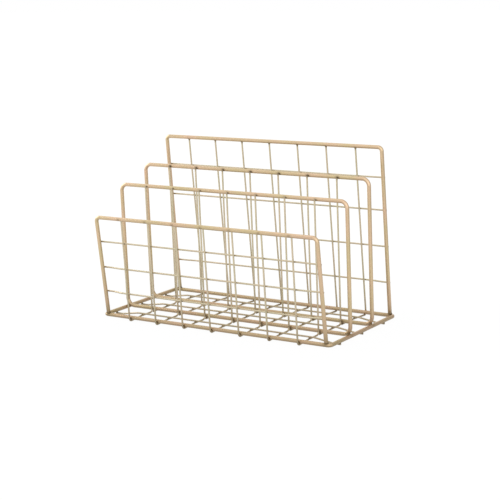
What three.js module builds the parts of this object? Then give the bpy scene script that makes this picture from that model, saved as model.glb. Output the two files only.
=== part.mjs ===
// Wire file rack with three slots. Millimetres, +Z up, +Y from the low front panel to the tall rear panel.
// Every piece is round wire bent along a planar path. Heights below are measured from the centre line
// of the base frame; the whole rack is lifted at the end so that it stands on z = 0.
import * as THREE from 'three';

// wire stock
const FRAME_RADIUS = 2.25; // thick wire of the base frame and the four panel frames
const WIRE_RADIUS = 1.0; // thin wire of the grid and the floor
const FRAME_SIDES = 16;
const WIRE_SIDES = 8;
const SEAT_GAP = 0.3; // the room that a weld fills between two wires

// base frame, measured between wire centre lines
const LENGTH = 312;
const DEPTH = 140;
const BASE_CORNER = 4;

// panels, from front to rear: foot line, height of the top bar, forward lean, legs set in from the side
// bars, corner radius, and for an outer panel whether its uprights are tied behind the top bar (1) or
// end below it (0)
const FRONT = { y: 0, height: 119.5, lean: 5.8, inset: 4.7, corner: 5.5, tie: 1 };
const SECOND = { y: 43, height: 149.5, lean: 0, inset: 0, corner: 8 };
const THIRD = { y: 90.5, height: 166.5, lean: 0, inset: 0, corner: 8 };
const REAR = { y: DEPTH, height: 196, lean: 3.2, inset: 5, corner: 4.6, tie: 0 };
const LOOP_LIFT = 1.3; // the bottom bars of the two middle frames lie this far above the base frame
const LOOP_CORNER = 9.3; // their lower corners nest against the side bars

// grid
const UPRIGHTS = 7;
const PITCH = LENGTH / (UPRIGHTS + 1);
const FRONT_RAILS = [89.5, 58.4, 28.8];
const REAR_RAILS = [161.1, 123.2, 80.8, 38.4];
const RAIL_END = 0.4; // a rail ends behind the leg, this far past the leg's centre line
const CRANK_START = 7; // a rail starts to bend this far inside the leg, and has reached the uprights
const CRANK_LENGTH = 20; // this much further on
const CROSS_WIRES = [20.4, 68.3, 116.6]; // lengthwise wires, one in each slot, lying on the floor wires
const CROSS_END = 1.0; // they end below the side bars, this far past the bars' centre lines,
const CROSS_REST = 9; // having run level there from this far inside them,
const CROSS_PAST = 6; // down from this far past the outermost floor wire,
const CROSS_BEND = 20; // with bends of this radius

// levels and offsets that follow from the wire sizes
const SEAT = FRAME_RADIUS + WIRE_RADIUS + SEAT_GAP; // centre to centre, thin wire on thick wire
const CROSSING = 2 * WIRE_RADIUS + SEAT_GAP; // centre to centre, thin wire on thin wire
const UNDER = -SEAT; // wire that passes below the base frame
const FLOOR = LOOP_LIFT - SEAT; // floor wire, welded below the middle frames
const OVER = FLOOR + CROSSING; // lengthwise wire that lies on the floor wires
const HOOK = 4; // bend from a floor wire to its upright
const LEVEL_PAST = 1; // a floor wire stays level this far past the lengthwise wire on it, and then
const LEVEL_BEND = 6; // bends by this radius to run straight down to the underside of the base bar
const TIE_END = 0.8; // an upright that is tied behind its top bar ends this far above the bar's centre
const FOOT = WIRE_RADIUS * Math.cos(Math.PI / WIRE_SIDES) - UNDER;

const SATIN = { color: 0xcdb698, roughness: 0.34, metalness: 1.0 };
const SATIN_THIN = { color: 0xc4ae92, roughness: 0.36, metalness: 1.0 };

const rad = (degrees) => (degrees * Math.PI) / 180;
const v3 = (x, y, z) => new THREE.Vector3(x, y, z);

// Point in a panel's plane at height z, moved back from that plane by offset.
function panelY(panel, z, offset = 0) {
  return panel.y - Math.tan(rad(panel.lean)) * z + offset / Math.cos(rad(panel.lean));
}

// Replaces each inner corner of a polyline by an arc of the given radius.
function rounded(points, radii, steps, closed) {
  const path = [];
  const count = points.length;
  points.forEach((corner, i) => {
    const radius = Array.isArray(radii) ? radii[i] : radii;
    const atEnd = !closed && (i === 0 || i === count - 1);
    if (atEnd || !radius) {
      path.push(corner.clone());
      return;
    }
    const back = points[(i + count - 1) % count].clone().sub(corner).normalize();
    const on = points[(i + 1) % count].clone().sub(corner).normalize();
    const half = back.angleTo(on) / 2;
    const centre = back.clone().add(on).normalize().multiplyScalar(radius / Math.sin(half)).add(corner);
    const start = back.clone().multiplyScalar(radius / Math.tan(half)).add(corner).sub(centre);
    const end = on.clone().multiplyScalar(radius / Math.tan(half)).add(corner).sub(centre);
    const sweep = start.angleTo(end);
    for (let k = 0; k <= steps; k += 1) {
      const t = k / steps;
      const a = Math.sin((1 - t) * sweep) / Math.sin(sweep);
      const b = Math.sin(t * sweep) / Math.sin(sweep);
      path.push(centre.clone().addScaledVector(start, a).addScaledVector(end, b));
    }
  });
  return path;
}

// Round wire along a planar path. normal is the unit normal of the path's plane. An open wire has
// flat ends with a small ground edge; a closed one joins its last ring to its first.
function wire(name, path, normal, radius, sides, closed, finish) {
  const rings = [];
  const count = path.length;
  const edge = closed ? 0 : radius * 0.22;
  path.forEach((point, i) => {
    const before = closed || i > 0 ? path[(i + count - 1) % count] : null;
    const after = closed || i < count - 1 ? path[(i + 1) % count] : null;
    const into = before ? point.clone().sub(before).normalize() : null;
    const out = after ? after.clone().sub(point).normalize() : null;
    const tangent = into && out ? into.clone().add(out).normalize() : (into || out).clone();
    const stretch = into && out ? 1 / Math.sqrt((1 + into.dot(out)) / 2) : 1;
    const side = normal.clone().cross(tangent).normalize();
    const ring = (centre, r) => {
      const loop = [];
      for (let k = 0; k < sides; k += 1) {
        const angle = (2 * Math.PI * (k + 0.5)) / sides;
        const vertex = centre.clone();
        vertex.addScaledVector(side, Math.cos(angle) * r * stretch);
        vertex.addScaledVector(normal, Math.sin(angle) * r);
        loop.push(vertex);
      }
      return loop;
    };
    if (!before) {
      rings.push(ring(point, radius - edge));
      rings.push(ring(point.clone().addScaledVector(tangent, edge), radius));
    } else if (!after) {
      rings.push(ring(point.clone().addScaledVector(tangent, -edge), radius));
      rings.push(ring(point, radius - edge));
    } else {
      rings.push(ring(point, radius));
    }
  });
  const positions = [];
  const index = [];
  rings.flat().forEach((vertex) => positions.push(vertex.x, vertex.y, vertex.z));
  const spans = closed ? rings.length : rings.length - 1;
  for (let i = 0; i < spans; i += 1) {
    const j = (i + 1) % rings.length;
    for (let k = 0; k < sides; k += 1) {
      const m = (k + 1) % sides;
      const a = i * sides + k;
      const b = i * sides + m;
      const c = j * sides + m;
      const d = j * sides + k;
      index.push(a, d, c, a, c, b);
    }
  }
  if (!closed) {
    const last = (rings.length - 1) * sides;
    for (let k = 1; k < sides - 1; k += 1) {
      index.push(0, k, k + 1);
      index.push(last, last + k + 1, last + k);
    }
  }
  const geometry = new THREE.BufferGeometry();
  geometry.setAttribute('position', new THREE.Float32BufferAttribute(positions, 3));
  geometry.setIndex(index);
  geometry.translate(0, 0, FOOT);
  if (volume(geometry) < 0) {
    const flipped = [];
    for (let i = 0; i < index.length; i += 3) {
      flipped.push(index[i], index[i + 2], index[i + 1]);
    }
    geometry.setIndex(flipped);
  }
  geometry.computeVertexNormals();
  const mesh = new THREE.Mesh(geometry, new THREE.MeshStandardMaterial(finish));
  mesh.name = name;
  return mesh;
}

// Signed volume, to see which way the faces point.
function volume(geometry) {
  const position = geometry.getAttribute('position');
  const index = geometry.getIndex();
  const a = new THREE.Vector3();
  const b = new THREE.Vector3();
  const c = new THREE.Vector3();
  let sum = 0;
  for (let i = 0; i < index.count; i += 3) {
    a.fromBufferAttribute(position, index.getX(i));
    b.fromBufferAttribute(position, index.getX(i + 1));
    c.fromBufferAttribute(position, index.getX(i + 2));
    sum += a.dot(b.cross(c));
  }
  return sum / 6;
}

const X_AXIS = v3(1, 0, 0);
const Y_AXIS = v3(0, 1, 0);
const Z_AXIS = v3(0, 0, 1);

// Base frame: a rounded rectangle lying flat.
function baseFrame() {
  const x = LENGTH / 2;
  const corners = [v3(-x, 0, 0), v3(x, 0, 0), v3(x, DEPTH, 0), v3(-x, DEPTH, 0)];
  const path = rounded(corners, BASE_CORNER, 6, true);
  return wire('base_frame', path, Z_AXIS, FRAME_RADIUS, FRAME_SIDES, true, SATIN);
}

// Outer panel: an upside-down U whose legs stand on the base frame.
function standingFrame(name, panel) {
  const x = LENGTH / 2 - panel.inset;
  const foot = FRAME_RADIUS + SEAT_GAP;
  const at = (px, z) => v3(px, panelY(panel, z), z);
  const points = [at(-x, foot), at(-x, panel.height), at(x, panel.height), at(x, foot)];
  const path = rounded(points, panel.corner, 8, false);
  const lean = rad(panel.lean);
  const normal = v3(0, Math.cos(lean), Math.sin(lean));
  return wire(name, path, normal, FRAME_RADIUS, FRAME_SIDES, false, SATIN);
}

// Middle divider: a closed loop whose lower corners nest against the side bars.
function loopFrame(name, panel) {
  const x = LENGTH / 2;
  const at = (px, z) => v3(px, panel.y, z);
  const points = [at(-x, LOOP_LIFT), at(-x, panel.height), at(x, panel.height), at(x, LOOP_LIFT)];
  const radii = [LOOP_CORNER, panel.corner, panel.corner, LOOP_CORNER];
  const path = rounded(points, radii, 8, true);
  return wire(name, path, Y_AXIS, FRAME_RADIUS, FRAME_SIDES, true, SATIN);
}

// An outer upright touches the outside of its base bar and runs up to its top bar, where it is tied
// behind the bar or ends below it. outward is -1 for the front panel and +1 for the rear one.
function outerUpright(panel, outward) {
  const top = panel.height + (panel.tie ? TIE_END : -FRAME_RADIUS - SEAT_GAP);
  const back = panel.tie ? SEAT : 0;
  const end = { y: panelY(panel, top, back) - panel.y, z: top };
  const reach = Math.hypot(end.y, end.z);
  const toward = Math.atan2(end.z, end.y);
  const angle = toward - outward * Math.acos(SEAT / reach);
  return { end, angle, touch: { y: SEAT * Math.cos(angle), z: SEAT * Math.sin(angle) } };
}

// Centre line of the outer upright at height z.
function uprightY(panel, outward, z) {
  const { end, touch } = outerUpright(panel, outward);
  const t = (z - touch.z) / (end.z - touch.z);
  return panel.y + touch.y + t * (end.y - touch.y);
}

// Points from an outer upright's top end, round its base bar and straight up to the floor level, which
// the wire reaches just before the lengthwise wire at y = crossing.
function outerRun(panel, outward, crossing, x) {
  const { end, angle } = outerUpright(panel, outward);
  const points = [v3(x, panel.y + end.y, end.z)];
  const level = { y: crossing + outward * LEVEL_PAST - panel.y, z: FLOOR };
  const toward = Math.atan2(level.z, level.y) + (outward < 0 ? 2 * Math.PI : 0);
  const bottom = toward + outward * Math.acos(SEAT / Math.hypot(level.y, level.z));
  for (let k = 0; k <= 6; k += 1) {
    const a = angle + ((bottom - angle) * k) / 6;
    points.push(v3(x, panel.y + SEAT * Math.cos(a), SEAT * Math.sin(a)));
  }
  const corner = v3(x, panel.y + level.y, FLOOR);
  const onward = corner.clone().add(v3(0, -outward * LEVEL_BEND, 0));
  const bend = rounded([points[points.length - 1], corner, onward], LEVEL_BEND, 2, false);
  return [...points, ...bend.slice(1, -1)];
}

// Points from the floor up the front face of a middle frame.
function hookRun(panel, x) {
  const y = panel.y - SEAT;
  const corner = [v3(x, y - 2 * HOOK, FLOOR), v3(x, y, FLOOR), v3(x, y, panel.height)];
  return rounded(corner, HOOK, 6, false).slice(1);
}

// Front slot: down the front panel, along the floor and up the second frame.
function frontSlotWire(k) {
  const x = k * PITCH - LENGTH / 2;
  const path = [...outerRun(FRONT, -1, CROSS_WIRES[0], x), ...hookRun(SECOND, x)];
  return wire(`front_slot_wire_${k}`, path, X_AXIS, WIRE_RADIUS, WIRE_SIDES, false, SATIN_THIN);
}

// Middle slot: from below the second frame along the floor and up the third frame.
function middleSlotWire(k) {
  const x = k * PITCH - LENGTH / 2;
  const path = [v3(x, SECOND.y - 2, FLOOR), ...hookRun(THIRD, x)];
  return wire(`middle_slot_wire_${k}`, path, X_AXIS, WIRE_RADIUS, WIRE_SIDES, false, SATIN_THIN);
}

// Rear slot: from below the third frame along the floor, round the rear bar and up the rear panel.
function rearSlotWire(k) {
  const x = k * PITCH - LENGTH / 2;
  const path = [v3(x, THIRD.y - 2, FLOOR), ...outerRun(REAR, 1, CROSS_WIRES[2], x).reverse()];
  return wire(`rear_slot_wire_${k}`, path, X_AXIS, WIRE_RADIUS, WIRE_SIDES, false, SATIN_THIN);
}

// Horizontal rail behind the uprights of an outer panel. Its ends are cranked to pass behind the legs.
function rail(name, panel, outward, z) {
  const slope = Math.cos(rad(panel.lean));
  const middle = uprightY(panel, outward, z) + CROSSING / slope + 0.02;
  const ends = panelY(panel, z, SEAT);
  const leg = LENGTH / 2 - panel.inset;
  const half = [];
  half.push([leg + RAIL_END, ends]);
  for (let k = 0; k <= 6; k += 1) {
    const t = k / 6;
    const blend = (1 - Math.cos(Math.PI * t)) / 2;
    half.push([leg - CRANK_START - CRANK_LENGTH * t, ends + (middle - ends) * blend]);
  }
  const left = half.map(([x, y]) => v3(-x, y, z));
  const right = half.map(([x, y]) => v3(x, y, z)).reverse();
  return wire(name, [...left, ...right], Z_AXIS, WIRE_RADIUS, WIRE_SIDES, false, SATIN_THIN);
}

// Lengthwise wire: level on the floor wires, and bent down at both ends to pass below the side bars.
function crossWire(name, y) {
  const half = [
    v3(LENGTH / 2 + CROSS_END, y, UNDER),
    v3(LENGTH / 2 - CROSS_REST, y, UNDER),
    v3(LENGTH / 2 - PITCH + CROSS_PAST, y, OVER),
  ];
  const other = half.map((point) => v3(-point.x, point.y, point.z)).reverse();
  const path = rounded([...half, ...other], CROSS_BEND, 3, false);
  return wire(name, path, Y_AXIS, WIRE_RADIUS, WIRE_SIDES, false, SATIN_THIN);
}

const group = new THREE.Group();
group.name = 'file_rack';
group.add(baseFrame());
group.add(standingFrame('front_frame', FRONT));
group.add(loopFrame('second_frame', SECOND));
group.add(loopFrame('third_frame', THIRD));
group.add(standingFrame('rear_frame', REAR));
for (let k = 1; k <= UPRIGHTS; k += 1) {
  group.add(frontSlotWire(k));
  group.add(middleSlotWire(k));
  group.add(rearSlotWire(k));
}
FRONT_RAILS.forEach((z, i) => group.add(rail(`front_rail_${i + 1}`, FRONT, -1, z)));
REAR_RAILS.forEach((z, i) => group.add(rail(`rear_rail_${i + 1}`, REAR, 1, z)));
CROSS_WIRES.forEach((y, i) => group.add(crossWire(`base_cross_wire_${i + 1}`, y)));

// Centre the footprint on the origin.
const box = new THREE.Box3().setFromObject(group);
const middle = box.getCenter(new THREE.Vector3());
group.children.forEach((mesh) => mesh.geometry.translate(-middle.x, -middle.y, 0));

export default group;
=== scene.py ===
"""Wire file rack: satin champagne wires, welded joints, pale floor and soft light."""

import math

import bpy
import numpy as np
from mathutils import Matrix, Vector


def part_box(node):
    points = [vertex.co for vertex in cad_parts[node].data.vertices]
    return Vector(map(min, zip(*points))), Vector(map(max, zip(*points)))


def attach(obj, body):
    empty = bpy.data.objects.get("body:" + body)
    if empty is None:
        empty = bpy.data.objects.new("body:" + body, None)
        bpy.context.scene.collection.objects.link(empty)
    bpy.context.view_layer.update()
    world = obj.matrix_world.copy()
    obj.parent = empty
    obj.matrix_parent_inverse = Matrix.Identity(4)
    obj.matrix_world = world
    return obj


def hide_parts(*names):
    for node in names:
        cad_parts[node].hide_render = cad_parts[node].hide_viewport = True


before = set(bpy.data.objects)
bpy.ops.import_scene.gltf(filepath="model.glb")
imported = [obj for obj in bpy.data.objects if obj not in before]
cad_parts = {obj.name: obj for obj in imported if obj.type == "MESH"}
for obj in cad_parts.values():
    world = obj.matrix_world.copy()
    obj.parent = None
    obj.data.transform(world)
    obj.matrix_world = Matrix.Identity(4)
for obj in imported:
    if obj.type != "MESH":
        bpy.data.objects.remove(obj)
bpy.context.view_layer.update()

# Sizes of the rack in millimetres, the same as in the solids. Heights are measured from the centre line of
# the base frame, and depths from the centre line of its front bar.
FRAME_R = 2.25  # thick wire of the base frame and the panel frames
WIRE_R = 1.0  # thin wire of the grid and the floor
SEAT_GAP = 0.3  # room that a weld fills
LENGTH = 312.0
DEPTH = 140.0
BASE_CORNER = 4.0
FRONT = {"y": 0.0, "height": 119.5, "lean": 5.8, "inset": 4.7, "corner": 5.5, "tie": 1}
SECOND = {"y": 43.0, "height": 149.5, "lean": 0.0, "corner": 8.0}
THIRD = {"y": 90.5, "height": 166.5, "lean": 0.0, "corner": 8.0}
REAR = {"y": DEPTH, "height": 196.0, "lean": 3.2, "inset": 5.0, "corner": 4.6, "tie": 0}
LOOP_LIFT = 1.3  # bottom bars of the two middle frames, above the base frame
LOOP_CORNER = 9.3  # their lower corners
UPRIGHTS = 7
PITCH = LENGTH / (UPRIGHTS + 1)
X_POSTS = [k * PITCH - LENGTH / 2 for k in range(1, UPRIGHTS + 1)]
FRONT_RAILS = [89.5, 58.4, 28.8]
REAR_RAILS = [161.1, 123.2, 80.8, 38.4]
RAIL_END = 0.4  # a rail ends behind the leg, this far past the leg's centre line
RAIL_CLEAR = 0.02  # added to its gap behind the uprights
CRANK_START = 7.0  # it starts to bend this far inside the leg
CRANK_LENGTH = 20.0
CROSS_WIRES = [20.4, 68.3, 116.6]  # lengthwise wires on the floor wires
CROSS_END = 1.0  # they end this far past the side bars' centre lines,
CROSS_REST = 9.0  # level from this far inside them,
CROSS_PAST = 6.0  # and bend down this far past the outermost floor wire
CROSS_BEND = 20.0
HOOK = 4.0  # bend from a floor wire to its upright
LEVEL_PAST = 1.0  # a floor wire stays level this far past the outermost lengthwise wire
LEVEL_BEND = 6.0
TIE_END = 0.8  # an upright tied behind a top bar ends this far above the bar's centre
SEAT = FRAME_R + WIRE_R + SEAT_GAP  # centre to centre, thin wire on thick wire
TOUCH = FRAME_R + SEAT_GAP / 2  # from a thick wire's centre to the middle of a weld
CROSSING = 2 * WIRE_R + SEAT_GAP  # centre to centre, thin wire on thin wire
UNDER = -SEAT
FLOOR = LOOP_LIFT - SEAT
OVER = FLOOR + CROSSING

# The solids are prisms: the flats of their sides give the level they stand on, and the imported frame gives
# the rack's middle in depth.
THICK_FLATS, THIN_FLATS = 16, 8
FOOT = WIRE_R * math.cos(math.pi / THIN_FLATS) - UNDER
MIDDLE_Y = DEPTH + FRAME_R * math.cos(math.pi / THICK_FLATS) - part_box("base_frame")[1].y * 1000.0

# Fineness of the smooth wires
THICK_SIDES, THIN_SIDES = 36, 20
ARC_STEPS = 18
LONGEST_SPAN = 12.0
FINE_REACH = 4.5  # spans are cut finely this near a weld,
FINE_CUTS = np.array([-4.5, -3.0, -2.0, -1.25, -0.5, 0.0, 0.5, 1.25, 2.0, 3.0, 4.5])[None, :]
FINE_SPAN = 4.0  # where they are longer than this,
CUTS_PER_MM = 4  # on even parts of a millimetre,
CUTS_APART = 0.2  # and no nearer than this to a point of the path
EDGE_SHARE, EDGE_STEPS = 0.35, 6  # quarter-round edge of a cut end, as a share of the radius
BATCH = 4000  # points worked out at a time

# Half sizes of the weld nuggets in millimetres
CROSSING_NUGGET = (1.15, 1.0, 1.0)
TIE_NUGGET = (1.35, 1.1, 1.1)
SECOND_NUGGET = (1.05, 0.9, 0.9)
THIRD_NUGGET = (1.25, 1.1, 1.05)
LEG_NUGGET = (2.9, 2.9, 1.1)
NEST_NUGGET = (1.6, 2.2, 1.6)
WRAP_WELD = 45  # degrees below the level at which an outer upright is welded to its base bar
TIE_WELD_DROP = 0.5  # a tied upright's weld, below the top bar's centre
LOOP_WELD_IN, LOOP_WELD_DROP = 0.7, 0.2  # top welds of the two middle frames, from the uprights' ends
LEG_WELD_AHEAD = 0.2  # a leg's weld, in front of its base bar's centre
NUGGET_AROUND, NUGGET_DOWN = 10, 6
NUGGET_STEP = 0.011  # metres of wire between two nuggets in the pattern that runs along the wire
THIN_NUGGET = 1.2  # a nugget shorter than this joins thin wire, and heats little of it
BROAD_NUGGET = 1.5  # one longer than this heats a longer piece
THIN_HEAT = 0.35
HEAT_CORE, HEAT_SPREAD, BROAD_SPREAD = 1.1, 1.7, 3.4

# Dark marks painted on the top bars' front faces, where the uprights end: panel, distance in front of the
# bar's centre line and below it, radius and strength
TOP_MARKS = [
    (FRONT, 1.9, 0.8, 2.2, 0.45),
    (SECOND, SEAT - 0.3, 0.3, 1.7, 0.4),
    (THIRD, SEAT - 0.3, 0.3, 1.9, 0.7),
]

# Finishes: rosy tone, olive tone, scorched tone, roughness where smooth and where worn, share of scorch,
# seed and depth of the grain
SCORCHED = (0.12, 0.085, 0.04, 1)
FINISHES = {
    "champagne_frame_wire": (
        (0.72, 0.51, 0.345, 1), (0.645, 0.52, 0.3, 1), SCORCHED, 0.25, 0.38, 0.7, 1.3, 0.25,
    ),
    "champagne_grid_wire": (
        (0.665, 0.56, 0.405, 1), (0.62, 0.555, 0.38, 1), SCORCHED, 0.32, 0.46, 0.5, 7.1, 0.2,
    ),
    "champagne_weld": (
        (0.27, 0.2, 0.125, 1), (0.2, 0.16, 0.09, 1), SCORCHED, 0.38, 0.5, 0.5, 4.2, 0.5,
    ),
    "champagne_bead": (
        (0.44, 0.38, 0.28, 1), (0.4, 0.37, 0.26, 1), SCORCHED, 0.36, 0.5, 0.3, 2.6, 0.4,
    ),
}
STREAK_TONE, STREAK_SHARE = (0.33, 0.28, 0.21, 1), 0.16
MARK_TONE = (0.13, 0.085, 0.045, 1)
# Painted shade near the floor: a darker, browner tone mixed into the wires' colour low down, standing in for
# the dimmer light at the base
LOW_SHADE_TONE, LOW_SHADE_SHARE = (0.27, 0.19, 0.1, 1), 0.36
LOW_FROM, LOW_TO = 0.006, 0.022  # metres above the floor between which that share falls to nothing
GRAIN_DEPTH = 0.0002

# Patterns of the finish: how many of a noise's grains lie on a metre, and for the drawing lines how many
# on a turn round the wire and on a metre along it; each noise is stretched from its own two ends
DRIFT_SCALE, DRIFT_ENDS = 30, (0.36, 0.64)
BLOTCH_SCALE, BLOTCH_ENDS = 120, (0.42, 0.7)
PEBBLE_SCALE = 1500
LINE_SCALE, LINE_ENDS = (46, 60, 1), (0.3, 0.7)
HEAT_UNEVEN = 0.5  # least share of a weld's heat where the blotches are weakest
LINE_WEAR = 0.6  # share of the worn roughness that the drawing lines reach
LINE_HEIGHT, PEBBLE_HEIGHT = 0.6, 0.4

# Camera, found by fitting the lines of the wires: focal length in pixels of a frame 500 wide, the offset of
# a point in the rack's middle from the axis and its distance, and the axis's angles in degrees
FRAME_WIDTH = 500.0
SENSOR = 36.0
FOCAL = 1471.75
AIM = (0.0, 78.0, 93.6)
AIM_RIGHT, AIM_UP, AIM_AWAY = -2.4398, 17.3837, 1706.06
AZIMUTH, ELEVATION, ROLL = 34.9139, 11.9581, -2.3168

# Soft tent: a base strength and one lobe for each direction
TENT_BASE = 0.42
TENT = [
    ((1.0, 0.0, 0.0), 0.3),
    ((0.0, 1.0, 0.0), 0.12),
    ((-0.707, 0.707, 0.0), 0.36),
    ((-1.0, 0.0, 0.0), 0.85),
    ((0.0, -1.0, 0.0), 0.75),
    ((0.707, -0.707, 0.0), 0.8),
    ((0.766, 0.0, 0.643), 0.36),
    ((0.0, 0.766, 0.643), 0.1),
    ((-0.542, 0.542, 0.643), 0.42),
    ((-0.766, 0.0, 0.643), 0.25),
    ((0.0, -0.766, 0.643), 0.16),
    ((0.542, -0.542, 0.643), 0.55),
    ((0.0, 0.0, 1.0), 0.25),
]
TENT_POWER = 4.0
MIRROR_SHARE = 0.2  # share of plain white that the metal sees in the tent

# Floor, in metres: share of plain white close to the rack, and where it has become all white
FLOOR_HALF = 6.0
FLOOR_GREY = (0.42, 0.42, 0.42, 1)
FLOOR_WHITE = 1.04
FOOTPRINT = (LENGTH / 2000, DEPTH / 2000, 0)
NEAR_EDGE = 0.02
FLOOR_SEEN, SEEN_EDGE = 0.93, 0.25
FLOOR_MIRRORED, MIRRORED_EDGE = 0.45, 0.2
RIGHTWARDS = (0.8, 0.6, 0.0)
RIGHT_FROM, RIGHT_TO, FLOOR_RIGHT = 0.3, 0.5, 0.5

# Lamps: name, place, target, width, height and power
LAMPS = [
    ("key_left", (-1.3, -0.3, 0.6), (-0.1, 0, 0.1), 0.8, 0.8, 5.0),
    ("front_top", (-0.1, -0.4, 0.75), (0, 0, 0.12), 0.6, 0.4, 0.35),
]


# Paths of the wires
def panel_y(panel, z, offset=0.0):
    """Place of a leaning plane at height z: its foot line less z times the tangent of the lean,
    plus an offset measured square to the plane."""
    lean = math.radians(panel["lean"])
    return panel["y"] - math.tan(lean) * z + offset / math.cos(lean)


def rounded(points, radii, closed):
    """A polyline with each inner corner swapped for a circular arc. The arc's centre lies on the corner's
    bisector at radius over the sine of the half angle; its points are the spherical blend of the two
    radius vectors at equal steps of angle."""
    points = [np.array(p, float) for p in points]
    count = len(points)
    path = []
    for i, corner in enumerate(points):
        radius = radii[i] if isinstance(radii, (list, tuple)) else radii
        if (not closed and i in (0, count - 1)) or not radius:
            path.append(corner[None, :])
            continue
        back = points[(i - 1) % count] - corner
        on = points[(i + 1) % count] - corner
        back /= np.linalg.norm(back)
        on /= np.linalg.norm(on)
        half = math.acos(float(np.clip(back @ on, -1, 1))) / 2
        middle = back + on
        centre = corner + middle / np.linalg.norm(middle) * radius / math.sin(half)
        start = corner + back * radius / math.tan(half) - centre
        end = corner + on * radius / math.tan(half) - centre
        sweep = math.pi - 2 * half
        t = np.linspace(0, 1, ARC_STEPS + 1)[:, None]
        path.append(centre + (np.sin((1 - t) * sweep) * start + np.sin(t * sweep) * end) / math.sin(sweep))
    return np.vstack(path)


def refine(path, closed):
    """The same path with more points on its straight spans: every span is cut into parts no longer than
    the longest allowed, and finely on both sides of each weld that lies on it. Cuts fall on even parts of
    a millimetre of the distance along the path."""
    loop = np.vstack([path, path[:1]]) if closed else path
    span = np.diff(loop, axis=0)
    lengths = np.linalg.norm(span, axis=1)
    run = np.concatenate([[0], np.cumsum(lengths)])
    parts = np.maximum(1, np.ceil(lengths / LONGEST_SPAN).astype(int))
    step = np.repeat(np.arange(len(parts)), parts)
    even = run[step] + lengths[step] * np.concatenate([np.arange(n) / n for n in parts])
    unit = span / lengths[:, None]
    along = ((WELD_AT[None, :, :] - loop[:-1, None, :]) * unit[:, None, :]).sum(2)
    inside = along.clip(0, lengths[:, None])
    foot = loop[:-1, None, :] + inside[:, :, None] * unit[:, None, :]
    gap = np.linalg.norm(WELD_AT[None, :, :] - foot, axis=2)
    near = (gap < FINE_REACH) & (lengths[:, None] > FINE_SPAN)
    fine = (run[:-1, None] + inside)[near][:, None] + FINE_CUTS
    cuts = np.unique(np.round(np.concatenate([even, fine.ravel()]) * CUTS_PER_MM)) / CUTS_PER_MM
    apart = np.abs(cuts[:, None] - run[None, :]).min(1) > CUTS_APART
    at = np.sort(np.concatenate([cuts[apart & (cuts > 0) & (cuts < run[-1])], run]))
    out = np.stack([np.interp(at, run, loop[:, n]) for n in range(3)], 1)
    return out[:-1] if closed else out


def base_path():
    """Rounded rectangle through the base frame's four corners."""
    x = LENGTH / 2
    return rounded([(-x, 0, 0), (x, 0, 0), (x, DEPTH, 0), (-x, DEPTH, 0)], BASE_CORNER, True)


def standing_path(panel):
    """Upside-down U in the leaning plane, from one foot on the base frame to the other."""
    x = LENGTH / 2 - panel["inset"]
    foot = FRAME_R + SEAT_GAP
    top = panel["height"]
    points = [(-x, foot), (-x, top), (x, top), (x, foot)]
    return rounded([(px, panel_y(panel, z), z) for px, z in points], panel["corner"], False)


def loop_path(panel):
    """Closed upright loop whose lower corners nest on the side bars."""
    x = LENGTH / 2
    points = [(-x, LOOP_LIFT), (-x, panel["height"]), (x, panel["height"]), (x, LOOP_LIFT)]
    radii = [LOOP_CORNER, panel["corner"], panel["corner"], LOOP_CORNER]
    return rounded([(px, panel["y"], z) for px, z in points], radii, True)


def outer_upright(panel, outward):
    """Top end, tangent angle and touching point of the straight upright that leaves the base bar at the
    tangent of a circle one seat away from its centre."""
    top = panel["height"] + (TIE_END if panel["tie"] else -FRAME_R - SEAT_GAP)
    back = SEAT if panel["tie"] else 0.0
    end = (panel_y(panel, top, back) - panel["y"], top)
    reach = math.hypot(*end)
    angle = math.atan2(end[1], end[0]) - outward * math.acos(SEAT / reach)
    return end, angle, (SEAT * math.cos(angle), SEAT * math.sin(angle))


def upright_y(panel, outward, z):
    """Linear blend between the touching point and the top end at height z."""
    end, _, touch = outer_upright(panel, outward)
    return panel["y"] + touch[0] + (z - touch[1]) / (end[1] - touch[1]) * (end[0] - touch[0])


def outer_run(panel, outward, crossing, x):
    """Top end, then an arc round the base bar, whose end is the tangent point of the straight line up to
    the floor level, then the small bend just before the lengthwise wire."""
    end, angle, _ = outer_upright(panel, outward)
    level = crossing + outward * LEVEL_PAST - panel["y"]
    toward = math.atan2(FLOOR, level) + (2 * math.pi if outward < 0 else 0)
    bottom = toward + outward * math.acos(SEAT / math.hypot(level, FLOOR))
    a = np.linspace(angle, bottom, ARC_STEPS + 1)
    arc = np.stack([np.full_like(a, x), panel["y"] + SEAT * np.cos(a), SEAT * np.sin(a)], 1)
    corner = np.array([x, panel["y"] + level, FLOOR])
    onward = corner - [0, outward * LEVEL_BEND, 0]
    bend = rounded([arc[-1], corner, onward], LEVEL_BEND, False)[1:-1]
    return np.vstack([[(x, panel["y"] + end[0], end[1])], arc, bend])


def hook_run(panel, x):
    """Floor wire turned up the front face of a middle frame by an arc."""
    y = panel["y"] - SEAT
    corner = [(x, y - 2 * HOOK, FLOOR), (x, y, FLOOR), (x, y, panel["height"])]
    return rounded(corner, HOOK, False)[1:]


def rail_path(panel, outward, z):
    """Straight behind the uprights, with a half-cosine crank at each end to pass behind the legs."""
    middle = upright_y(panel, outward, z) + CROSSING / math.cos(math.radians(panel["lean"])) + RAIL_CLEAR
    ends = panel_y(panel, z, SEAT)
    leg = LENGTH / 2 - panel["inset"]
    t = np.linspace(0, 1, ARC_STEPS + 1)
    xs = np.concatenate([[leg + RAIL_END], leg - CRANK_START - CRANK_LENGTH * t])
    ys = np.concatenate([[ends], ends + (middle - ends) * (1 - np.cos(np.pi * t)) / 2])
    left = np.stack([-xs, ys, np.full_like(xs, z)], 1)
    right = np.stack([xs, ys, np.full_like(xs, z)], 1)[::-1]
    return np.vstack([left, right])


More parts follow.
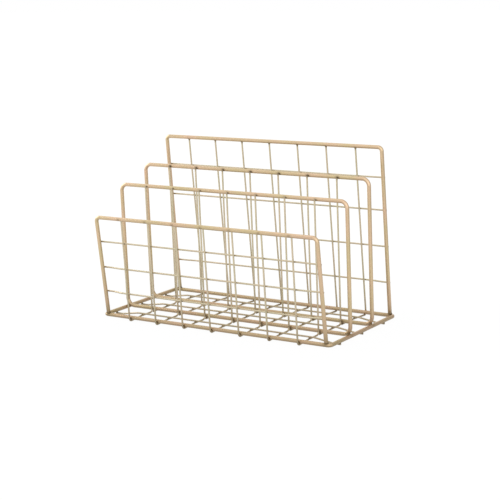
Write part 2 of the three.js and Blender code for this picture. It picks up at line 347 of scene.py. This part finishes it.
def cross_path(y):
    """Level on the floor wires, and bent down at both ends to pass below the side bars."""
    half = [
        (LENGTH / 2 + CROSS_END, y, UNDER),
        (LENGTH / 2 - CROSS_REST, y, UNDER),
        (LENGTH / 2 - PITCH + CROSS_PAST, y, OVER),
    ]
    other = [(-px, py, pz) for px, py, pz in half][::-1]
    return rounded(half + other, CROSS_BEND, False)


# Welds
def weld_points():
    """Every place where two wires are welded: its position and the half sizes of its nugget."""
    rows = []
    for x in X_POSTS:
        for panel, outward in ((FRONT, -1), (REAR, 1)):
            a = math.radians(180 + WRAP_WELD if outward < 0 else -WRAP_WELD)
            rows.append(((x, panel["y"] + TOUCH * math.cos(a), TOUCH * math.sin(a)), TIE_NUGGET))
            end, _, _ = outer_upright(panel, outward)
            if panel["tie"]:
                top = (x, panel_y(panel, panel["height"], TOUCH), panel["height"] - TIE_WELD_DROP)
            else:
                top = (x, panel["y"] + end[0], panel["height"] - TOUCH)
            rows.append((top, TIE_NUGGET))
        for panel, size in ((SECOND, SECOND_NUGGET), (THIRD, THIRD_NUGGET)):
            rows.append(((x, panel["y"] - TOUCH, LOOP_LIFT), TIE_NUGGET))
            rows.append(((x, panel["y"], LOOP_LIFT - TOUCH), TIE_NUGGET))
            top = (x, panel["y"] - SEAT + LOOP_WELD_IN, panel["height"] - LOOP_WELD_DROP)
            rows.append((top, size))
        rows += [((x, y, (OVER + FLOOR) / 2), CROSSING_NUGGET) for y in CROSS_WIRES]
    for panel, outward, rails in ((FRONT, -1, FRONT_RAILS), (REAR, 1, REAR_RAILS)):
        leg = LENGTH / 2 - panel["inset"]
        for z in rails:
            y = upright_y(panel, outward, z) + CROSSING / 2
            rows += [((x, y, z), CROSSING_NUGGET) for x in X_POSTS]
            rows += [((side * leg, panel_y(panel, z, TOUCH), z), TIE_NUGGET) for side in (-1, 1)]
        rows += [((side * leg, panel["y"] - LEG_WELD_AHEAD, TOUCH), LEG_NUGGET) for side in (-1, 1)]
    nest = np.array([-LOOP_CORNER, LOOP_LIFT + LOOP_CORNER])
    nest = nest / np.linalg.norm(nest) * TOUCH
    for side in (-1, 1):
        rows += [((side * LENGTH / 2, y, -TOUCH), TIE_NUGGET) for y in CROSS_WIRES]
        for panel in (SECOND, THIRD):
            rows.append(((side * (LENGTH / 2 + nest[0]), panel["y"], nest[1]), NEST_NUGGET))
    return rows


WELDS = weld_points()
WELD_AT = np.array([at for at, _ in WELDS])
WELD_LENGTH = np.array([size[0] for _, size in WELDS])
WELD_HEAT = np.where(WELD_LENGTH < THIN_NUGGET, THIN_HEAT, 1.0)
WELD_SPREAD = np.where(WELD_LENGTH > BROAD_NUGGET, BROAD_SPREAD, HEAT_SPREAD)


def mark_points():
    """Position, radius and strength of every dark mark painted on the top bars."""
    rows = []
    for panel, ahead, below, radius, strength in TOP_MARKS:
        z = panel["height"] - below
        rows += [(x, panel_y(panel, z) - ahead, z, radius, strength) for x in X_POSTS]
    return np.array(rows)


MARKS = mark_points()


def largest_bell(points, centres, core, spread, strength):
    """The largest of several bell curves at each point: a centre's strength times e to the power of minus
    the square of the distance to it, counted from the core's edge, over its spread."""
    largest = np.zeros(len(points))
    for batch in np.array_split(np.arange(len(points)), max(1, len(points) // BATCH)):
        gap = np.linalg.norm(points[batch][:, None, :] - centres[None, :, :], axis=2)
        fall = (gap - core).clip(0) / spread[None, :]
        largest[batch] = (strength[None, :] * np.exp(-(fall**2))).max(1)
    return largest


# Meshes
def to_metres(points):
    """Design millimetres to the row frame: lifted by the foot, footprint centred, divided by 1000."""
    return (points + np.array([0.0, -MIDDLE_Y, FOOT])) / 1000.0


def mesh_object(name, points, faces, around, along, material):
    """A mesh from whole arrays of vertices and faces. The UV map holds the turn round the wire and the
    distance along it; the attribute weld holds the heat of the nearest welds, and mark the dark marks on the
    top bars."""
    mesh = bpy.data.meshes.new(name)
    mesh.from_pydata(to_metres(points), [], faces)
    corner = np.zeros(len(mesh.loops), np.int32)
    mesh.loops.foreach_get("vertex_index", corner)
    uv = mesh.uv_layers.new(name="wrap")
    uv.data.foreach_set("uv", np.stack([around, along], 1)[corner].astype(np.float32).ravel())
    heat = largest_bell(points, WELD_AT, HEAT_CORE, WELD_SPREAD, WELD_HEAT)
    mark = largest_bell(points, MARKS[:, :3], 0.0, MARKS[:, 3], MARKS[:, 4])
    for label, values in (("weld", heat), ("mark", mark)):
        attribute = mesh.attributes.new(label, "FLOAT", "POINT")
        attribute.data.foreach_set("value", values.astype(np.float32))
    mesh.polygons.foreach_set("use_smooth", np.ones(len(mesh.polygons), bool))
    mesh.materials.append(material)
    mesh.validate()
    obj = bpy.data.objects.new(name, mesh)
    bpy.context.scene.collection.objects.link(obj)
    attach(obj, "root")
    return obj


def signed_volume(points, faces):
    """Sum over the quads of the volumes spanned by the origin and each quad's two triangles, which is
    negative where the faces point inwards."""
    quads = np.array([f for f in faces if len(f) == 4])
    a, b, c, d = (points[quads[:, n]] for n in range(4))
    return float((np.cross(a, b) * c).sum() + (np.cross(a, c) * d).sum()) / 6


def round_wire(name, path, normal, radius, sides, closed, material):
    """A circle carried along a planar path. Each ring lies in the bisector plane of its two spans and is
    stretched by one over the cosine of the half turn; an open wire ends in a quarter-round edge and a
    flat face."""
    path = refine(path, closed)
    if closed:
        span_in = path - np.roll(path, 1, 0)
        span_out = np.roll(path, -1, 0) - path
    else:
        span = np.diff(path, axis=0)
        span_in = np.vstack([span[:1], span])
        span_out = np.vstack([span, span[-1:]])
    span_in = span_in / np.linalg.norm(span_in, axis=1, keepdims=True)
    span_out = span_out / np.linalg.norm(span_out, axis=1, keepdims=True)
    tangent = span_in + span_out
    tangent /= np.linalg.norm(tangent, axis=1, keepdims=True)
    stretch = 1 / np.sqrt((1 + (span_in * span_out).sum(1)) / 2)
    radii = np.full(len(path), radius)
    run = np.concatenate([[0], np.cumsum(np.linalg.norm(np.diff(path, axis=0), axis=1))])
    if not closed:
        n = EDGE_STEPS
        edge = radius * EDGE_SHARE
        a = np.linspace(math.pi / 2, 0, n)
        inset = edge * (1 - np.sin(a))
        ring_r = radius - edge + edge * np.cos(a)
        first = path[0] + tangent[0] * inset[:, None]
        last = (path[-1] - tangent[-1] * inset[:, None])[::-1]
        path = np.vstack([first, path[1:-1], last])
        tangent = np.vstack([np.repeat(tangent[:1], n, 0), tangent[1:-1], np.repeat(tangent[-1:], n, 0)])
        stretch = np.concatenate([np.ones(n), stretch[1:-1], np.ones(n)])
        radii = np.concatenate([ring_r, radii[1:-1], ring_r[::-1]])
        run = np.concatenate([inset, run[1:-1], run[-1] - inset[::-1]])
    normal = np.array(normal, float)
    side = np.cross(np.broadcast_to(normal, tangent.shape), tangent)
    side /= np.linalg.norm(side, axis=1, keepdims=True)
    turn = 2 * np.pi * np.arange(sides) / sides
    ring = (
        np.cos(turn)[None, :, None] * (side * stretch[:, None])[:, None, :]
        + np.sin(turn)[None, :, None] * normal[None, None, :]
    )
    points = (path[:, None, :] + radii[:, None, None] * ring).reshape(-1, 3)
    rings = len(path)
    i = np.arange(rings if closed else rings - 1)[:, None]
    k = np.arange(sides)[None, :]
    j = (i + 1) % rings
    m = (k + 1) % sides
    quads = np.stack(np.broadcast_arrays(i * sides + k, i * sides + m, j * sides + m, j * sides + k), -1)
    faces = quads.reshape(-1, 4).tolist()
    if not closed:
        faces.append(list(range(sides))[::-1])
        faces.append([(rings - 1) * sides + n for n in range(sides)])
    if signed_volume(points, faces) < 0:
        faces = [f[::-1] for f in faces]
    around = np.tile(np.arange(sides) / sides, rings)
    along = np.repeat(run / 1000.0, sides)
    return mesh_object(name, points, faces, around, along, material)


def nuggets(name, rows, material):
    """Small weld beads in one mesh: a unit ball on a grid of latitude and longitude, scaled and moved to
    each weld, with its poles closed by fans."""
    lat = np.linspace(0, np.pi, NUGGET_DOWN + 1)[1:-1]
    lon = 2 * np.pi * np.arange(NUGGET_AROUND) / NUGGET_AROUND
    ball = np.stack(
        [
            (np.sin(lat)[:, None] * np.cos(lon)[None, :]).ravel(),
            (np.sin(lat)[:, None] * np.sin(lon)[None, :]).ravel(),
            np.repeat(np.cos(lat), NUGGET_AROUND),
        ],
        1,
    )
    ball = np.vstack([ball, [(0, 0, 1), (0, 0, -1)]])
    k = np.arange(NUGGET_AROUND)
    m = (k + 1) % NUGGET_AROUND
    r = np.arange(len(lat) - 1)[:, None] * NUGGET_AROUND
    below = r + NUGGET_AROUND
    quads = np.stack(np.broadcast_arrays(r + k, below + k, below + m, r + m), -1).reshape(-1, 4)
    top, bottom, last = len(ball) - 2, len(ball) - 1, (len(lat) - 1) * NUGGET_AROUND
    upper = np.stack([np.full(NUGGET_AROUND, top), k, m], 1)
    lower = np.stack([np.full(NUGGET_AROUND, bottom), last + m, last + k], 1)
    caps = np.vstack([upper, lower])
    at = np.array([place for place, _ in rows])
    size = np.array([half for _, half in rows])
    points = (at[:, None, :] + size[:, None, :] * ball[None, :, :]).reshape(-1, 3)
    shift = (np.arange(len(rows)) * len(ball))[:, None, None]
    faces = (quads[None] + shift).reshape(-1, 4).tolist() + (caps[None] + shift).reshape(-1, 3).tolist()
    around = np.tile(np.arange(len(ball)) / len(ball), len(rows))
    along = np.repeat(np.arange(len(rows)) * NUGGET_STEP, len(ball))
    return mesh_object(name, points, faces, around, along, material)


# Shader nodes
def new_node(tree, kind, **settings):
    """A node of the given kind, with its own settings written by name."""
    node = tree.nodes.new(kind)
    for label, value in settings.items():
        setattr(node, label, value)
    return node


def feed(tree, value, socket):
    """Links another node's output to a socket, or writes a plain value on it."""
    if isinstance(value, bpy.types.NodeSocket):
        tree.links.new(value, socket)
    else:
        socket.default_value = value


def maths(tree, operation, a, b):
    """One step of arithmetic on two numbers."""
    node = new_node(tree, "ShaderNodeMath", operation=operation)
    feed(tree, a, node.inputs[0])
    feed(tree, b, node.inputs[1])
    return node.outputs["Value"]


def vector_maths(tree, operation, a, b=(0, 0, 0)):
    """One step of arithmetic on two vectors. A dot product and a length come out as a number."""
    node = new_node(tree, "ShaderNodeVectorMath", operation=operation)
    feed(tree, a, node.inputs[0])
    feed(tree, b, node.inputs[1])
    return node.outputs["Value" if operation in ("DOT_PRODUCT", "LENGTH") else "Vector"]


def ramp(tree, source, low, high, to_low=0.0, to_high=1.0, easing="LINEAR"):
    """A number taken from one range to another and held at its ends."""
    node = new_node(tree, "ShaderNodeMapRange", interpolation_type=easing)
    rows = (("Value", source), ("From Min", low), ("From Max", high), ("To Min", to_low), ("To Max", to_high))
    for label, value in rows:
        feed(tree, value, node.inputs[label])
    return node.outputs["Result"]


def blend_tones(tree, factor, a, b):
    """Tone a where the factor is 0, and tone b where it is 1."""
    node = new_node(tree, "ShaderNodeMix", data_type="RGBA")
    feed(tree, factor, node.inputs["Factor"])
    feed(tree, a, node.inputs[6])
    feed(tree, b, node.inputs[7])
    return node.outputs[2]


def noise(tree, source, seed, scale, detail, rough=0.5):
    """Four-dimensional noise whose fourth place is the seed."""
    node = new_node(tree, "ShaderNodeTexNoise", noise_dimensions="4D")
    rows = (("Vector", source), ("W", seed), ("Scale", scale), ("Detail", detail), ("Roughness", rough))
    for label, value in rows:
        feed(tree, value, node.inputs[label])
    return node.outputs["Fac"]


# Finishes
FINISH_INPUTS = [
    ("Rosy", "NodeSocketColor"),
    ("Olive", "NodeSocketColor"),
    ("Burnt", "NodeSocketColor"),
    ("Smooth", "NodeSocketFloat"),
    ("Rough", "NodeSocketFloat"),
    ("Scorch", "NodeSocketFloat"),
    ("Seed", "NodeSocketFloat"),
]


def plated_wire():
    """Drawn and plated wire: slow changes of warmth along the wire, fine drawing lines that follow it,
    a faint pebble of the lacquer, a darker, rougher tone where a weld was made, dark marks on the top
    bars where the uprights end, and painted shade: a darker tone near the floor."""
    tree = bpy.data.node_groups.new("satin_plated_wire", "ShaderNodeTree")
    for label, kind in FINISH_INPUTS:
        tree.interface.new_socket(label, in_out="INPUT", socket_type=kind)
    tree.interface.new_socket("Color", in_out="OUTPUT", socket_type="NodeSocketColor")
    tree.interface.new_socket("Roughness", in_out="OUTPUT", socket_type="NodeSocketFloat")
    tree.interface.new_socket("Height", in_out="OUTPUT", socket_type="NodeSocketFloat")
    given = tree.nodes.new("NodeGroupInput").outputs
    out = tree.nodes.new("NodeGroupOutput").inputs
    place = tree.nodes.new("ShaderNodeTexCoord").outputs["Object"]
    wrap = new_node(tree, "ShaderNodeUVMap", uv_map="wrap").outputs["UV"]
    weld = new_node(tree, "ShaderNodeAttribute", attribute_name="weld").outputs["Fac"]
    mark = new_node(tree, "ShaderNodeAttribute", attribute_name="mark").outputs["Fac"]
    drawn = tree.nodes.new("ShaderNodeMapping")
    feed(tree, wrap, drawn.inputs["Vector"])
    drawn.inputs["Scale"].default_value = LINE_SCALE
    height = tree.nodes.new("ShaderNodeSeparateXYZ")
    feed(tree, place, height.inputs["Vector"])

    drift = ramp(tree, noise(tree, place, given["Seed"], DRIFT_SCALE, 2), *DRIFT_ENDS)
    lines = noise(tree, drawn.outputs["Vector"], given["Seed"], 1.0, 3, 0.6)
    pebble = noise(tree, place, given["Seed"], PEBBLE_SCALE, 2)
    blotch = ramp(tree, noise(tree, place, given["Seed"], BLOTCH_SCALE, 3), *BLOTCH_ENDS)

    tone = blend_tones(tree, drift, given["Rosy"], given["Olive"])
    tone = blend_tones(tree, ramp(tree, lines, *LINE_ENDS, 0.0, STREAK_SHARE), tone, STREAK_TONE)
    heat = maths(tree, "MULTIPLY", weld, ramp(tree, blotch, 0, 1, HEAT_UNEVEN, 1.0))
    tone = blend_tones(tree, maths(tree, "MULTIPLY", heat, given["Scorch"]), tone, given["Burnt"])
    tone = blend_tones(tree, mark, tone, MARK_TONE)
    # Painted shade: the colour grows darker towards the floor
    low = ramp(tree, height.outputs["Z"], LOW_FROM, LOW_TO, LOW_SHADE_SHARE, 0.0)
    feed(tree, blend_tones(tree, low, tone, LOW_SHADE_TONE), out["Color"])

    span = maths(tree, "SUBTRACT", given["Rough"], given["Smooth"])
    worn = maths(tree, "MULTIPLY", ramp(tree, lines, *LINE_ENDS), LINE_WEAR)
    worn = maths(tree, "MULTIPLY", span, maths(tree, "MAXIMUM", worn, weld))
    feed(tree, maths(tree, "ADD", given["Smooth"], worn), out["Roughness"])
    coarse = maths(tree, "MULTIPLY", lines, LINE_HEIGHT)
    fine = maths(tree, "MULTIPLY", pebble, PEBBLE_HEIGHT)
    feed(tree, maths(tree, "ADD", coarse, fine), out["Height"])
    return tree


def satin_metal(name, group):
    """Metal shader fed by the plated wire group with the values of one finish."""
    *values, grain = FINISHES[name]
    material = bpy.data.materials.new(name)
    material.use_nodes = True
    tree = material.node_tree
    shader = tree.nodes["Principled BSDF"]
    satin = new_node(tree, "ShaderNodeGroup", node_tree=group)
    for (label, _), value in zip(FINISH_INPUTS, values):
        satin.inputs[label].default_value = value
    bump = tree.nodes.new("ShaderNodeBump")
    bump.inputs["Strength"].default_value = grain
    bump.inputs["Distance"].default_value = GRAIN_DEPTH
    feed(tree, satin.outputs["Height"], bump.inputs["Height"])
    feed(tree, satin.outputs["Color"], shader.inputs["Base Color"])
    feed(tree, satin.outputs["Roughness"], shader.inputs["Roughness"])
    feed(tree, bump.outputs["Normal"], shader.inputs["Normal"])
    shader.inputs["Metallic"].default_value = 1.0
    return material


SATIN = plated_wire()
THICK_SATIN = satin_metal("champagne_frame_wire", SATIN)
THIN_SATIN = satin_metal("champagne_grid_wire", SATIN)
WELD_SATIN = satin_metal("champagne_weld", SATIN)
BEAD_SATIN = satin_metal("champagne_bead", SATIN)

# The rack
X_AXIS, Y_AXIS, Z_AXIS = (1, 0, 0), (0, 1, 0), (0, 0, 1)


def thick_wire(node, path, normal, closed):
    """The smooth thick wire that stands for one CAD node."""
    obj = round_wire("smooth_" + node, path, normal, FRAME_R, THICK_SIDES, closed, THICK_SATIN)
    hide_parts(node)


def thin_wire(node, path, normal):
    """The smooth thin wire that stands for one CAD node."""
    obj = round_wire("smooth_" + node, path, normal, WIRE_R, THIN_SIDES, False, THIN_SATIN)
    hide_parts(node)


def leaning_normal(panel):
    """Unit normal of a leaning panel's plane."""
    lean = math.radians(panel["lean"])
    return (0, math.cos(lean), math.sin(lean))


thick_wire("base_frame", base_path(), Z_AXIS, True)
thick_wire("front_frame", standing_path(FRONT), leaning_normal(FRONT), False)
thick_wire("second_frame", loop_path(SECOND), Y_AXIS, True)
thick_wire("third_frame", loop_path(THIRD), Y_AXIS, True)
thick_wire("rear_frame", standing_path(REAR), leaning_normal(REAR), False)
for number, x in enumerate(X_POSTS, 1):
    front = np.vstack([outer_run(FRONT, -1, CROSS_WIRES[0], x), hook_run(SECOND, x)])
    middle = np.vstack([[(x, SECOND["y"] - 2, FLOOR)], hook_run(THIRD, x)])
    rear = np.vstack([[(x, THIRD["y"] - 2, FLOOR)], outer_run(REAR, 1, CROSS_WIRES[2], x)[::-1]])
    thin_wire(f"front_slot_wire_{number}", front, X_AXIS)
    thin_wire(f"middle_slot_wire_{number}", middle, X_AXIS)
    thin_wire(f"rear_slot_wire_{number}", rear, X_AXIS)
for number, z in enumerate(FRONT_RAILS, 1):
    thin_wire(f"front_rail_{number}", rail_path(FRONT, -1, z), Z_AXIS)
for number, z in enumerate(REAR_RAILS, 1):
    thin_wire(f"rear_rail_{number}", rail_path(REAR, 1, z), Z_AXIS)
for number, y in enumerate(CROSS_WIRES, 1):
    thin_wire(f"base_cross_wire_{number}", cross_path(y), Y_AXIS)
frame_welds = [row for row in WELDS if row[1][0] > THIN_NUGGET]
grid_welds = [row for row in WELDS if row[1][0] <= THIN_NUGGET]
nuggets("weld_nuggets", frame_welds, WELD_SATIN)
nuggets("grid_beads", grid_welds, BEAD_SATIN)


# Floor, light and camera
def stage_floor():
    """A wide pale floor. Seen directly or mirrored it is white; close to the rack a share of it is plain
    diffuse, so that the shadow and the contact dark show. The share falls with the distance from the
    rack's footprint: the length of the part of the absolute place that exceeds the footprint's half. In
    the metal the floor is also less white far to the right, as the dark right edges of the legs show."""
    mesh = bpy.data.meshes.new("pale_floor")
    s = FLOOR_HALF
    mesh.from_pydata([(-s, -s, 0), (s, -s, 0), (s, s, 0), (-s, s, 0)], [], [(0, 1, 2, 3)])
    floor = bpy.data.objects.new("pale_floor", mesh)
    bpy.context.scene.collection.objects.link(floor)
    material = bpy.data.materials.new("pale_floor")
    material.use_nodes = True
    tree = material.node_tree
    tree.nodes.clear()
    out = tree.nodes.new("ShaderNodeOutputMaterial")
    diffuse = tree.nodes.new("ShaderNodeBsdfDiffuse")
    diffuse.inputs["Color"].default_value = FLOOR_GREY
    white = tree.nodes.new("ShaderNodeEmission")
    white.inputs["Color"].default_value = (1, 1, 1, 1)
    white.inputs["Strength"].default_value = FLOOR_WHITE
    place = tree.nodes.new("ShaderNodeTexCoord").outputs["Object"]
    ray = tree.nodes.new("ShaderNodeLightPath").outputs
    beyond = vector_maths(tree, "SUBTRACT", vector_maths(tree, "ABSOLUTE", place), FOOTPRINT)
    reach = vector_maths(tree, "LENGTH", vector_maths(tree, "MAXIMUM", beyond))

    seen = ramp(tree, reach, NEAR_EDGE, SEEN_EDGE, FLOOR_SEEN, 1.0, "SMOOTHSTEP")
    seen = maths(tree, "MULTIPLY", seen, ray["Is Camera Ray"])
    either = maths(tree, "MAXIMUM", ray["Is Glossy Ray"], ray["Is Transmission Ray"])
    mirrored = ramp(tree, reach, NEAR_EDGE, MIRRORED_EDGE, FLOOR_MIRRORED, 1.0, "SMOOTHSTEP")
    mirrored = maths(tree, "MULTIPLY", mirrored, either)
    right = vector_maths(tree, "DOT_PRODUCT", place, RIGHTWARDS)
    dim = ramp(tree, right, RIGHT_FROM, RIGHT_TO, 1.0, FLOOR_RIGHT, "SMOOTHSTEP")
    mirrored = maths(tree, "MULTIPLY", mirrored, dim)
    mixed = tree.nodes.new("ShaderNodeMixShader")
    feed(tree, maths(tree, "MAXIMUM", seen, mirrored), mixed.inputs["Fac"])
    feed(tree, diffuse.outputs["BSDF"], mixed.inputs[1])
    feed(tree, white.outputs["Emission"], mixed.inputs[2])
    feed(tree, mixed.outputs["Shader"], out.inputs["Surface"])
    mesh.materials.append(material)


def studio_world():
    """White to the camera, and in the metal a mix of that white with the light of a soft tent. The tent's
    strength is a base plus one lobe for each of its directions: the fourth power of the dot product with
    that direction, where it is positive, times the lobe's strength."""
    world = bpy.data.worlds.new("studio_tent")
    bpy.context.scene.world = world
    world.use_nodes = True
    tree = world.node_tree
    tree.nodes.clear()
    out = tree.nodes.new("ShaderNodeOutputWorld")
    ray = tree.nodes.new("ShaderNodeLightPath").outputs
    towards = tree.nodes.new("ShaderNodeTexCoord").outputs["Generated"]
    strength = TENT_BASE
    for direction, share in TENT:
        ahead = maths(tree, "MAXIMUM", vector_maths(tree, "DOT_PRODUCT", towards, direction), 0.0)
        lobe = maths(tree, "MULTIPLY", maths(tree, "POWER", ahead, TENT_POWER), share)
        strength = maths(tree, "ADD", lobe, strength)
    tent = tree.nodes.new("ShaderNodeBackground")
    white = tree.nodes.new("ShaderNodeBackground")
    for background in (tent, white):
        background.inputs["Color"].default_value = (1, 1, 1, 1)
    feed(tree, strength, tent.inputs["Strength"])
    mirrored = maths(tree, "MAXIMUM", ray["Is Glossy Ray"], ray["Is Transmission Ray"])
    mirrored = maths(tree, "MULTIPLY", mirrored, MIRROR_SHARE)
    mixed = tree.nodes.new("ShaderNodeMixShader")
    feed(tree, maths(tree, "MAXIMUM", ray["Is Camera Ray"], mirrored), mixed.inputs["Fac"])
    feed(tree, tent.outputs["Background"], mixed.inputs[1])
    feed(tree, white.outputs["Background"], mixed.inputs[2])
    feed(tree, mixed.outputs["Shader"], out.inputs["Surface"])


def place_by_axes(obj, right, up, back, at):
    """Puts a lamp or the camera at a point, with its own axes along three directions."""
    turn = np.eye(4)
    turn[:3, 0], turn[:3, 1], turn[:3, 2], turn[:3, 3] = right, up, back, at
    obj.matrix_world = Matrix(turn.tolist())
    bpy.context.scene.collection.objects.link(obj)


def softbox(name, at, target, width, height, power):
    """A rectangular lamp that faces the target."""
    lamp = bpy.data.lights.new(name, "AREA")
    lamp.shape = "RECTANGLE"
    lamp.size = width
    lamp.size_y = height
    lamp.energy = power
    back = np.array(at, float) - np.array(target, float)
    back /= np.linalg.norm(back)
    right = np.cross((0, 0, 1), back)
    right /= np.linalg.norm(right)
    place_by_axes(bpy.data.objects.new(name, lamp), right, np.cross(back, right), back, at)


def photo_camera():
    """Camera at the photograph's angle. Its axis points away from the azimuth and elevation and is rolled
    a little, and it stands so far back that the aimed point lies at the given offset from the axis."""
    a, e, r = (math.radians(v) for v in (AZIMUTH, ELEVATION, ROLL))
    back = np.array([math.sin(a) * math.cos(e), -math.cos(a) * math.cos(e), math.sin(e)])
    level = np.cross(-back, (0, 0, 1))
    level /= np.linalg.norm(level)
    upright = np.cross(level, -back)
    right = level * math.cos(r) + upright * math.sin(r)
    up = -level * math.sin(r) + upright * math.cos(r)
    at = to_metres(np.array(AIM)) - (right * AIM_RIGHT + up * AIM_UP - back * AIM_AWAY) / 1000.0
    camera = bpy.data.cameras.new("photo_camera")
    camera.sensor_fit = "HORIZONTAL"
    camera.sensor_width = SENSOR
    camera.lens = FOCAL / FRAME_WIDTH * SENSOR
    camera.clip_start = 0.01
    camera.clip_end = 50.0
    obj = bpy.data.objects.new("photo_camera", camera)
    place_by_axes(obj, right, up, back, at)
    bpy.context.scene.camera = obj


stage_floor()
studio_world()
for lamp_row in LAMPS:
    softbox(*lamp_row)
photo_camera()
bpy.context.scene.view_settings.view_transform = "Standard"
